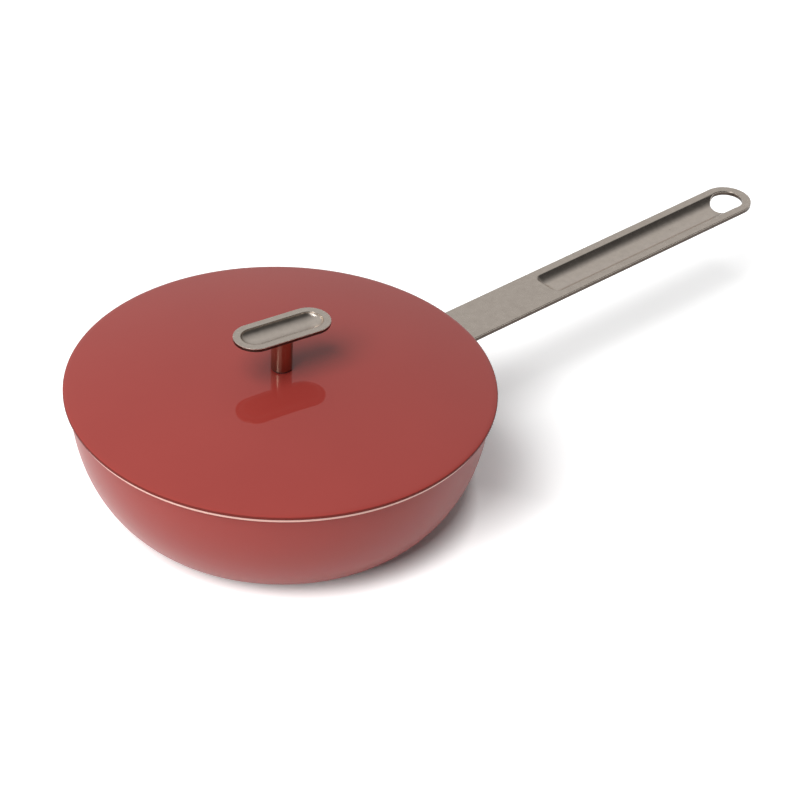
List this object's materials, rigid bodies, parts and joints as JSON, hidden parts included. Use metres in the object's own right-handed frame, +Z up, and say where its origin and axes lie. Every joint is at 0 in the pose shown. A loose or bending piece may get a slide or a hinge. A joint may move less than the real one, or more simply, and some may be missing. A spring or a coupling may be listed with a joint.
{
  "type": "wok with lid",
  "caption": "Flat-based wok with curved walls, a level blade handle with a sunk trough and hanging hole, and a shallow domed lid that lifts off by an oblong tray-shaped knob.",
  "frame": {"origin": "centre of the underside of the base, on the plane that the wok stands on", "axes": "+X along the handle away from the pan, +Z up through the lid's knob, +Y to the left of someone looking along the handle"},
  "size_m": [0.5401, 0.2596, 0.1228],
  "materials": {
    "red_coated_aluminium": "glossy terracotta red ceramic coating on aluminium, with a bare pale rim",
    "plate_steel": "turned magnetic steel",
    "cast_steel": "warm satin cast stainless steel",
    "bright_steel": "plain bright steel",
    "silicone": "matt dark silicone"
  },
  "bodies": {
    "pan": {"pan_body": "red_coated_aluminium", "base_plate": "plate_steel", "handle": "cast_steel", "handle_rivet_left": "bright_steel", "handle_rivet_right": "bright_steel", "handle_rivet_lower": "bright_steel"},
    "lid": {"lid_shell": "red_coated_aluminium", "knob_tray": "cast_steel", "knob_stem": "cast_steel", "knob_gasket": "silicone", "knob_washer": "bright_steel", "knob_screw": "bright_steel"}
  },
  "joints": [
    {"name": "lid_lift", "type": "slide", "parent": "pan", "child": "lid", "axis": [0, 0, 1], "range_m": [0, 0.12]}
  ]
}
